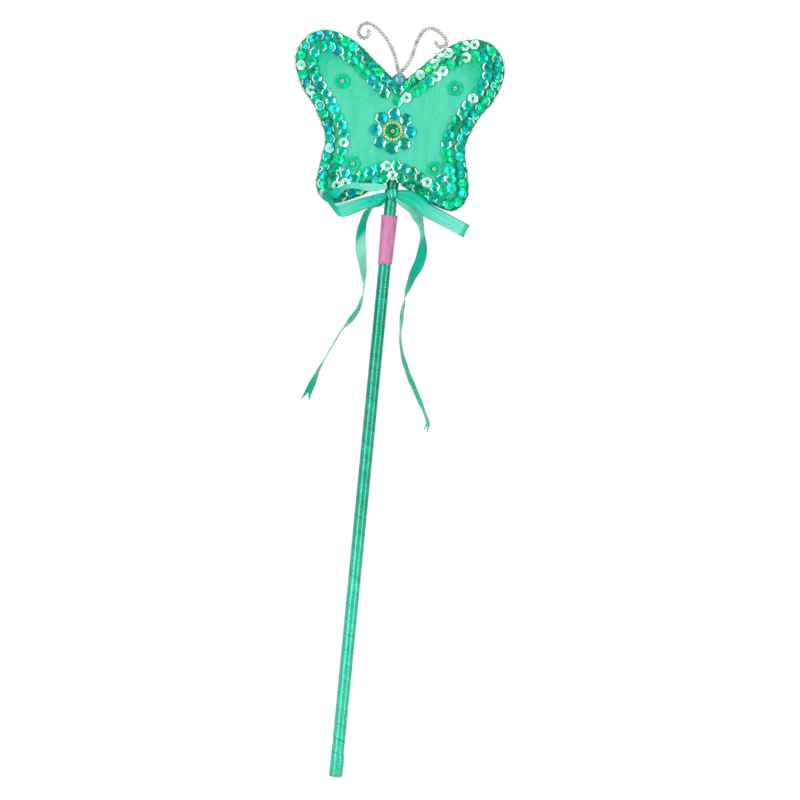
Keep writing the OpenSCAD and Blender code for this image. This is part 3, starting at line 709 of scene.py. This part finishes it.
def stuffed_pouch():
    """The pouch's cloth, remeshed, held along its seam and pressed out by the stuffing."""
    plain = plain_pouch()
    obj = meshed("pouch_plain", [[c * BIG for c in p] for p in plain.points], plain.faces)
    remesh = obj.modifiers.new("remesh", "REMESH")
    remesh.mode = "VOXEL"
    remesh.voxel_size = VOXEL * BIG
    before, faces = worked_mesh(obj)
    obj = meshed("pouch_cloth", before, faces)
    seam = obj.vertex_groups.new(name="seam")
    shares = [reach_share(p.x / BIG, p.z / BIG) for p in before]
    seam.add([i for i, share in enumerate(shares) if share > SEAM_SHARE], 1, "REPLACE")
    cloth = obj.modifiers.new("cloth", "CLOTH")
    cloth.settings.vertex_group_mass = "seam"
    cloth.settings.mass = 0.1
    cloth.settings.use_pressure = True
    cloth.settings.uniform_pressure_force = 4
    cloth.settings.shrink_min = -0.035
    cloth.settings.effector_weights.gravity = 0
    cloth.collision_settings.use_collision = False
    for k in range(1, FRAMES + 1):
        scene.frame_set(k)
    after, _ = worked_mesh(obj)
    scene.frame_set(1)
    points = []
    for p, q, share in zip(before, after, shares):
        move = (q - p) / BIG
        out = copysign(1, p.y) * move.y
        move *= min(1, MOST_MOVE / max(1e-6, move.length))
        points.append(p / BIG + (move if out > -MOST_SUNK else move * 0))
    # Share towards the edge, which sets the painted sequin-tinted light and shade; less of it on the back
    painted_lights = [min(1, share) if p.y < 0 else min(1, share) - 0.26 for p, share in zip(before, shares)]
    return [gathered(p, share) for p, share in zip(points, shares)], faces, painted_lights


pouch_points, pouch_faces, pouch_painted_light = stuffed_pouch()
pouch = Shell()
pouch.add([HEAD @ p for p in pouch_points], pouch_faces, painted_lights=pouch_painted_light)
cushion = pouch.make(
    "head_cushion", head_satin(), "wand", "head_satin", ["head_padding", "front_cloth", "back_cloth"])
pouch_surface = BVHTree.FromPolygons(pouch_points, pouch_faces)


def cloth_front(x, z):
    """How far the front cloth stands off the head's middle plane."""
    hit = pouch_surface.ray_cast(Vector((x, -60, z)), Vector((0, 1, 0)))[0]
    return CLOTH_T if hit is None else -hit.y


def on_head(p, lift=0.0):
    """Place and normal on the front cloth in the row frame, lifted off it."""
    e = 1.5
    x, z = p
    right, left = cloth_front(x + e, z), cloth_front(x - e, z)
    above, below = cloth_front(x, z + e), cloth_front(x, z - e)
    h = max(cloth_front(x, z), np.mean([right, left, above, below]))
    normal = Vector(((left - right) / (2 * e), -1, (below - above) / (2 * e))).normalized()
    return HEAD @ (Vector((x, -h, z)) + normal * lift), HEAD.to_3x3() @ normal


def along_edge(s, by):
    """Place at a length round the head's edge, set in from it, and the way that the edge runs there."""
    s = s % edge_far[-1]
    p, q = [at_length(t % edge_far[-1], edge_far, closed_edge) for t in (s, s + 0.5)]
    way = (q - p) / max(1e-9, np.linalg.norm(q - p))
    return p + by * np.array([way[1], -way[0]]), way


def off_stick(p):
    """Whether a place is clear of the stick at the neck."""
    return abs(p[0]) > 4.3 or p[1] > 30


def stitched_edge():
    """The flat seam beyond the pouch, overlocked with thread."""
    shell = Shell()
    rows = []
    for q, near in zip(EDGE, inset(EDGE, EDGE_W + 0.9)):
        mid = (q + near) / 2
        profile = ((q, -0.18), (q, 0.18), (mid, 0.45), (near, 0.6), (near, -0.6), (mid, -0.45))
        rows.append([HEAD @ Vector((p[0], y, p[1])) for p, y in profile])
    first = next(i for i in range(len(EDGE)) if not off_stick(EDGE[i]))
    kept = [i % len(EDGE) for i in range(first, first + len(EDGE)) if off_stick(EDGE[i % len(EDGE)])]
    shell.grid([rows[i] for i in kept], around=True)
    shell.close_ends(0, len(rows[0]))
    step = 1.15
    count = int(edge_far[-1] / step)
    stitch = ((0, 1.5, -0.72), (0.25, 0.6, -0.52), (0.45, -0.08, 0), (0.7, 0.6, 0.52), (0.85, 1.5, 0.72))
    path = []
    for i in range(count + 1):
        for s, by, y in stitch:
            p, _ = along_edge((i + s) * step, by)
            if off_stick(p) and i < count:
                path.append(HEAD @ Vector((p[0], y, p[1])))
            elif len(path) > 3:
                shell.tube(path, radius=0.14, sides=5)
                path = []
    look = thread("edge_thread", srgb(4, 146, 108), srgb(28, 194, 148))
    shell.make("stitched_edge", look, "wand", "edge_thread", ["edge_stitching"])


def frayed_threads():
    """Loose cloth threads that lie along the head's edge."""
    shell = Shell()
    for _ in range(460):
        p, way = along_edge(rng.uniform(0, edge_far[-1]), rng.uniform(-0.1, 0.5))
        if not off_stick(p):
            continue
        out = np.array([-way[1], way[0]])
        way = way * rng.choice((-1, 1))
        long, lift, bend = rng.uniform(1.0, 3.2), rng.uniform(0.05, 0.55), rng.uniform(-0.35, 0.2)
        y = rng.uniform(-0.5, 0.4)
        hair = []
        for t in np.linspace(0, 1, 6):
            q = p + way * long * t + out * (long * (lift * t + bend * t * t) + 0.1)
            hair.append(HEAD @ Vector((q[0], y, q[1])))
        shell.tube(hair, radius=rng.uniform(0.09, 0.13), sides=4, taper=0.6)
    look = thread("frayed_thread", srgb(6, 132, 100), srgb(44, 176, 140))
    shell.make("frayed_threads", look, "wand", "edge_thread")


stitched_edge()
frayed_threads()

# Sequins and beads
TEAL, BLUE, DEEP, GREEN = srgb(0, 186, 164), srgb(0, 156, 172), srgb(0, 152, 112), srgb(0, 204, 142)
LEAF, AQUA, GOLD = srgb(0, 218, 142), srgb(30, 230, 208), srgb(176, 210, 70)
# Painted glints: white for lit facet bands and pale sequins, mint for the pale sequins' inner bands
GLINT_WHITE, GLINT_MINT = srgb(228, 250, 240), srgb(176, 238, 216)
BODIES = {
    "dark": (TEAL, TEAL, TEAL, TEAL, BLUE, DEEP, DEEP, GREEN, GREEN),
    "petal": (srgb(0, 154, 160), srgb(0, 168, 154), srgb(0, 154, 128)),
    "pale": (GREEN, TEAL, GREEN, LEAF),
    "green": (LEAF, AQUA, LEAF, GREEN),
    "cup": (srgb(0, 150, 84),),
}
SEQUIN_FILM = tinted("sequin_film", 0.2, 0.5, specular_ior_level=0.15)
PETAL_FILM = tinted("petal_film", 0.18, 0.5, specular_ior_level=0.15)
GREEN_FILM = tinted("green_film", 0.4, 0.1, specular_ior_level=0.1)
HOLE_R, FILM_T, SEWN_LIFT, FRONT = 0.42, 0.12, 0.3, Vector((0, -1, 0))
SEQUIN_R, SEQUIN_DEPTH, SEQUIN_GAP = 2.85, 0.5, 4.75
THREADS = thread("sewing_thread", srgb(0, 74, 54), srgb(6, 112, 82))
stitches = Shell()


def varied(colour, spread):
    """A colour made lighter or darker by chance."""
    f = rng.uniform(1 - spread, 1 + spread)
    return tuple(min(1, c * f) for c in colour)


def sequin_tones(kind, ways):
    """Tints of a sequin's middle, and of the inner and outer band of each facet, given its way sideways.
    Outer bands turned to the lit side, and a few others, get a painted white glint; pale sequins are painted
    white and mint all over as painted highlights.
    """
    body = rng.choice(BODIES[kind])
    lit = rng.choice((-1, 1))
    bands = []
    for way in ways:
        inner, outer = varied(body, 0.3), varied(body, 0.35)
        if kind == "pale":
            inner, outer = (varied(GLINT_MINT, 0.12), varied(GLINT_WHITE, 0.05)) if rng.random() < 0.9 else (inner, outer)
        elif kind in ("dark", "petal"):
            # Painted white glints on the outer band of facets turned to the lit side, and now and then on the
            # other side
            chance = 0.85 if lit * way > 0.6 else 0.3 if -lit * way > 0.8 else 0.03
            outer = GLINT_WHITE if rng.random() < chance else outer
            inner = varied(rng.choice(BODIES[kind]), 0.25) if rng.random() < 0.3 else inner
        bands.append((inner, outer))
    middle = varied(GOLD if kind == "green" and rng.random() < 0.12 else body, 0.25)
    return middle, bands


def sequin(shell, place, normal, radius, depth, kind, flat=1.1):
    """A cup sequin pressed from film: a pierced flat in the middle and six facets up to its rim."""
    spin = rng.uniform(0, 1)
    x, y = crossed(normal)
    middle_r = flat + 0.62 * (radius - flat)
    profile = ((HOLE_R, HOLE_R, 0), (flat, flat * 0.866, 0), (middle_r, middle_r * 0.89, depth * 0.6),
               (radius, radius * 0.91, depth))
    n = 12
    points = []
    for back in (0, FILM_T):
        for corner, side, z in profile:
            for k in range(n):
                a = spin + tau * k / n
                r = side if k % 2 else corner
                points.append(place + x * (r * cos(a)) + y * (r * sin(a)) + normal * (z - back))
    facet_angles = [spin + tau * (2 * k + 1) / n for k in range(n // 2)]
    ways = [(x * cos(a) + y * sin(a)).x for a in facet_angles]
    middle, bands = sequin_tones(kind, ways)
    rim, rear = 3 * n, 4 * n
    faces, tints = [], []
    for k in range(n):
        m = (k + 1) % n
        inner, outer = bands[k // 2]
        for ring, tone in ((0, middle), (1, inner), (2, outer)):
            a, b = ring * n, (ring + 1) * n
            faces += [(a + k, b + k, b + m, a + m), (rear + a + k, rear + a + m, rear + b + m, rear + b + k)]
            tints += [tone, tone]
        faces += [(rim + k, rear + rim + k, rear + rim + m, rim + m), (k, m, rear + m, rear + k)]
        tints += [outer, middle]
    shell.add(points, faces, tints)
    a = rng.uniform(0, tau)
    way = x * cos(a) + y * sin(a)
    route = ((0, -0.3), (0.1, 0.14), (flat, 0.14), (radius * 0.93, depth + 0.1), (radius + 0.25, -0.2))
    stitches.tube([place + way * r + normal * z for r, z in route], radius=0.1, sides=5)


def tilted(normal, amount):
    """A normal leaned a little by chance."""
    return (normal + Vector([rng.gauss(0, amount) for _ in range(3)])).normalized()


# Where sequins face the light, in the head's own frame
PALE_PLACES = [
    (-52, 62), (-47, 52), (-33, 20), (-27, 21), (-31, -1), (-36, -4), (-26, 1), (-3, 14), (-2, 11), (1, 6),
    (4, 50), (10, 48), (14, 52), (14, 61), (18, 65), (21, 60), (22, 68), (25, 72), (26, 64), (34, 70),
    (35, 76), (41, 77), (40, 51), (19, 3),
]


def sequin_kind(x, z):
    """Most sequins are dark, pale ones are where the light catches them, and green ones lie in patches."""
    if any(hypot(x - a, z - b) < 2.6 for a, b in PALE_PLACES):
        return "pale"
    above = z - (NOTCH_Z + 0.85 * abs(x) - 17)
    green = 0.08
    if 2 < x < 37 and above > 0:
        green = 0.6
    elif -33 < x < -12 and above > 0:
        green = 0.4
    elif x > 27 and z < 22:
        green = 0.72
    return "green" if rng.random() < green else "dark"


def sewn_places(outline, taken, gap, wanted=lambda x, z: True):
    """Places along an outline, each a gap from those before it and from what is sewn already."""
    closed = np.vstack([outline, outline[:1]])
    far = lengths(closed)
    found = []
    for s in np.arange(0, far[-1], 0.4):
        x, z = at_length(s, far, closed).tolist()
        place = on_head((x, z), 0.6)[0]
        if wanted(x, z) and all((place - q).length > gap for q in taken):
            taken.append(place)
            found.append((x, z))
    return found


def in_lower_lobes(x, z):
    spots_clear = all(hypot(x - a, z - b) > 6.2 for a, b in SPOTS)
    return spots_clear and (z < 16 if x > 0 else z < 12) and abs(x) > 20


def sewn_row(name, node, places):
    """Sequins that lap like shingles along their row and lie flatter than the cloth under them."""
    shell = Shell()
    for i, p in enumerate(places):
        place, normal = on_head(p, SEWN_LIFT)
        after = on_head(places[(i + 1) % len(places)], SEWN_LIFT)[0] - place
        lean = after.normalized() * 0.13 if after.length < 8 else Vector((0, 0, 0))
        flatter = normal.lerp(FRONT, 0.55).normalized()
        raise_by = 0.25 + 2.4 * sin(normal.angle(flatter))
        leaning = tilted(flatter - lean, 0.04)
        sequin(shell, place + flatter * raise_by, leaning, SEQUIN_R, SEQUIN_DEPTH, sequin_kind(*p))
    shell.make(name, SEQUIN_FILM, "wand", "sequin_film", [node], flat=True)


# Two rows, the inner one set further in at the waist, and a fill in the lower lobes
taken = [HEAD @ PEARL]
outer_places = sewn_places(inset(EDGE, ROW_INSET), taken, SEQUIN_GAP)
waist = np.exp(-(((EDGE[:, 1:] - 24) / 9) ** 2)) * (np.abs(EDGE[:, :1]) > 25)
inner_places = sewn_places(inset(EDGE, ROW_INSET + ROW_STEP + 0.2 + 1.2 * waist), taken, SEQUIN_GAP)
inner_places += sewn_places(inset(EDGE, ROW_INSET + 2 * ROW_STEP + 0.2), taken, SEQUIN_GAP, in_lower_lobes)
sewn_row("sequins_outer", "outer_sequins", outer_places)
sewn_row("sequins_inner", "inner_sequins", inner_places)

petals = Shell()
for i in range(FLOWER_PETALS):
    a = tau * i / FLOWER_PETALS
    place, normal = on_head(FLOWER + PETAL_RING * np.array([sin(a), cos(a)]), SEWN_LIFT)
    sequin(petals, place, tilted(normal, 0.05), radius=3.35, depth=0.6, kind="petal", flat=1.4)
petals.make("sequins_petals", PETAL_FILM, "wand", "petal_film", ["petal_sequins"], flat=True)
cup = Shell()
flower_place, flower_normal = on_head(FLOWER, SEWN_LIFT)
sequin(cup, flower_place, flower_normal, radius=3.7, depth=0.7, kind="cup", flat=1.7)
cup.make("sequin_cup", PETAL_FILM, "wand", "green_film", ["flower_cup"], flat=True)
stitches.make("sewing_threads", THREADS, "wand", "edge_thread")


def spot_flower(shell, p):
    """A thin film flower of six petals, pressed to a shallow dish."""
    place, normal = on_head(p, SEWN_LIFT)
    x, y = crossed(normal)
    spin, around, radius = rng.uniform(0, 1), 48, 4.1
    rows, tints = [], []
    shares = (0.12, 0.35, 0.6, 0.85, 1.0)
    for back, order in ((0, shares), (FILM_T, shares[::-1])):
        for share in order:
            row = []
            for j in range(around):
                a = tau * j / around
                petal = abs(cos(3 * a)) ** 0.5
                r = radius * share * (1 - 0.15 * (1 - petal) * share)
                z = 0.7 * share**2 - 0.3 * (1 - petal) * share - back
                row.append(place + x * (r * cos(a + spin)) + y * (r * sin(a + spin)) + normal * z)
            rows.append(row)
    deep, light = srgb(0, 192, 130), srgb(12, 230, 172)
    for i in range(len(rows)):
        ring = min(i, len(rows) - 1 - i) / 4
        for j in range(around):
            f = min(1, 0.1 + 0.75 * ring + 0.15 * abs(cos(3 * tau * j / around)))
            f = max(0, min(1, f + 0.18 * sin(j * 0.7 + 5 * ring + p[0])))
            tints.append(tuple(u + (v - u) * f for u, v in zip(deep, light)))
    shell.grid(rows, around=True, along=True, tint=tints)


spots, gold, clear = Shell(), Shell(), Shell()
for p in SPOTS:
    spot_flower(spots, p)
    place, normal = on_head(p, 1.25)
    clear.bead(place, normal, wide=2.3, tall=1.7, hole=0.7, tint=varied(srgb(214, 246, 230), 0.05))
spots.make("spot_films", GREEN_FILM, "wand", "green_film", ["spot_sequins"])
across, beside = crossed(flower_normal)
for i in range(RING_BEADS):
    a = tau * i / RING_BEADS
    out = across * cos(a) + beside * sin(a)
    leaning = flower_normal * rng.uniform(-0.2, 0.2)
    round_way = (beside * cos(a) - across * sin(a) + leaning).normalized()
    place = flower_place + out * 4.65 + flower_normal * 0.95
    gold.bead(place, round_way, wide=1.75, tall=1.42, hole=0.45, tint=varied(srgb(212, 232, 154), 0.2))
eye_place = flower_place + flower_normal * 1.0
clear.bead(eye_place, flower_normal, wide=2.2, tall=1.8, hole=0.7, tint=srgb(214, 240, 204))
GLASS = dict(coat_weight=0.5, coat_roughness=0.05, ior=1.5)
gold_glass = tinted("gold_beads", 0.16, 0.1, **GLASS)
gold.make("flower_beads", gold_glass, "wand", "gold_beads", ["flower_bead_ring"])
clear_glass = tinted("clear_beads", 0.08, 0.0, transmission_weight=0.15, **GLASS)
clear.make("clear_beads", clear_glass, "wand", "clear_beads", ["flower_eye_bead", "spot_beads"])

# Each antenna's route: right and up from the top of the pearl bead
ANTENNAE = {
    "left": [
        (-0.3, -0.6), (-0.9, 0.6), (-2.4, 6.2), (-5, 12.2), (-8.6, 17.8), (-13.4, 22.6), (-18.4, 25.2),
        (-22, 24), (-23.6, 20.6), (-22.2, 17.6), (-19.4, 17.2), (-17.8, 19.6), (-18.8, 22.2),
    ],
    "right": [
        (0.4, -0.6), (1.1, 0.6), (4.2, 4.6), (6.4, 10), (8, 16.2), (11, 22.4), (15, 24.8), (19.6, 23),
        (23.2, 20), (24.4, 17), (22, 15), (19.2, 15.4), (18.2, 18),
    ],
}
BEAD_STEP = 1.76
SILVER = tinted("silver_beads", 0.2, 0.2, coat_weight=0.4, coat_roughness=0.08)
for name, route in ANTENNAE.items():
    path = curve(route, 12)
    far = lengths(path)
    shell = Shell()
    for s in np.arange(0.2, far[-1], BEAD_STEP):
        p = at_length(s, far, path)
        way = at_length(s + 0.4, far, path) - at_length(s - 0.4, far, path)
        axis = HEAD.to_3x3() @ Vector((way[0], rng.gauss(0, 0.08), way[1])).normalized()
        place = HEAD @ (ANTENNA + Vector((p[0], rng.gauss(0, 0.06), p[1])))
        grey = rng.uniform(0.62, 1.1)
        tint = tuple(min(1, c * grey) for c in srgb(206, 208, 194))
        shell.bead(place, axis.normalized(), wide=rng.uniform(2.05, 2.4), tall=1.7, hole=0.9, tint=tint)
    shell.make(f"antenna_{name}_strung", SILVER, f"{name}_antenna", "silver_beads", [f"antenna_{name}_beads"])

# Pieces that keep their CAD solids
PEARL_LOOK = coated("pearl_plastic", srgb(0, 150, 160), srgb(6, 168, 176), 0.14, 0.1, 160,
                    coat_weight=1.0, coat_roughness=0.06, coat_ior=1.6, specular_ior_level=0.6)
WIRE_LOOK = coated("wire_steel", srgb(140, 144, 138), srgb(205, 208, 200), 0.22, 1.0)
WOOD_LOOK = thread("dowel_wood", srgb(176, 132, 84), srgb(206, 166, 116))
KEPT = {
    "pearl_bead": PEARL_LOOK, "dowel": WOOD_LOOK, "antenna_stem": WIRE_LOOK,
    "antenna_left_wire": WIRE_LOOK, "antenna_right_wire": WIRE_LOOK,
}
for name, look in KEPT.items():
    nodes[name].data.materials.clear()
    nodes[name].data.materials.append(look)


def area_lamp(name, place, size, power):
    """A softbox aimed at the wand's upper half."""
    lamp = bpy.data.lights.new(name, "AREA")
    lamp.shape = "RECTANGLE"
    lamp.size, lamp.size_y = size
    lamp.energy = power
    obj = placed(name, lamp)
    obj.location = place
    obj.rotation_euler = (Vector((0, 0, 0.3)) - Vector(place)).to_track_quat("-Z", "Y").to_euler()


def background_rays(tree):
    """One for camera, glossy and transmission rays, which see the white background."""
    path = tree.nodes.new("ShaderNodeLightPath")
    total = path.outputs["Is Camera Ray"]
    for name in ("Is Glossy Ray", "Is Transmission Ray"):
        both = tree.nodes.new("ShaderNodeMath")
        both.operation = "MAXIMUM"
        tree.links.new(total, both.inputs[0])
        tree.links.new(path.outputs[name], both.inputs[1])
        total = both.outputs[0]
    return total


def white_world():
    """Soft grey light all round, behind a white background."""
    world = bpy.data.worlds.new("studio")
    scene.world = world
    world.use_nodes = True
    tree = world.node_tree
    soft = tree.nodes["Background"]
    soft.inputs["Color"].default_value = (0.21, 0.21, 0.21, 1)
    white = tree.nodes.new("ShaderNodeBackground")
    white.inputs["Color"].default_value = (1, 1, 1, 1)
    choose = tree.nodes.new("ShaderNodeMixShader")
    for i, source in enumerate((background_rays(tree), soft.outputs[0], white.outputs[0])):
        tree.links.new(source, choose.inputs[i])
    tree.links.new(choose.outputs[0], tree.nodes["World Output"].inputs["Surface"])


def paper_floor():
    """A small sheet of white paper that keeps the object's soft shadow."""
    look = Look("floor_paper", base_color=(0.8, 0.8, 0.8), roughness=0.9)
    tree = look.tree
    glow = look.node("Emission", {"Strength": background_rays(tree)})
    glow.inputs["Color"].default_value = (0.55, 0.55, 0.55, 1)
    both = look.node("AddShader", {0: look.shader.outputs[0], 1: glow.outputs[0]})
    tree.links.new(both.outputs[0], tree.nodes["Material Output"].inputs["Surface"])
    wide, low = 0.45, -0.0005
    corners = [(-wide, -wide, low), (wide, -wide, low), (wide, wide, low), (-wide, wide, low)]
    floor = meshed("floor", corners, [(0, 1, 2, 3)])
    floor.data.materials.append(look.material)


area_lamp("left_softbox", (-0.81, -1.16, 0.34), (0.56, 1.4), 12)
area_lamp("right_softbox", (1.08, -0.91, 0.34), (0.34, 1.4), 8)
area_lamp("top_fill", (0, -0.2, 1.6), (1.0, 1.0), 4)
area_lamp("back_fill", (0, 1.3, 0.7), (1.2, 1.0), 8)
white_world()
paper_floor()
scene.view_settings.view_transform = "Standard"
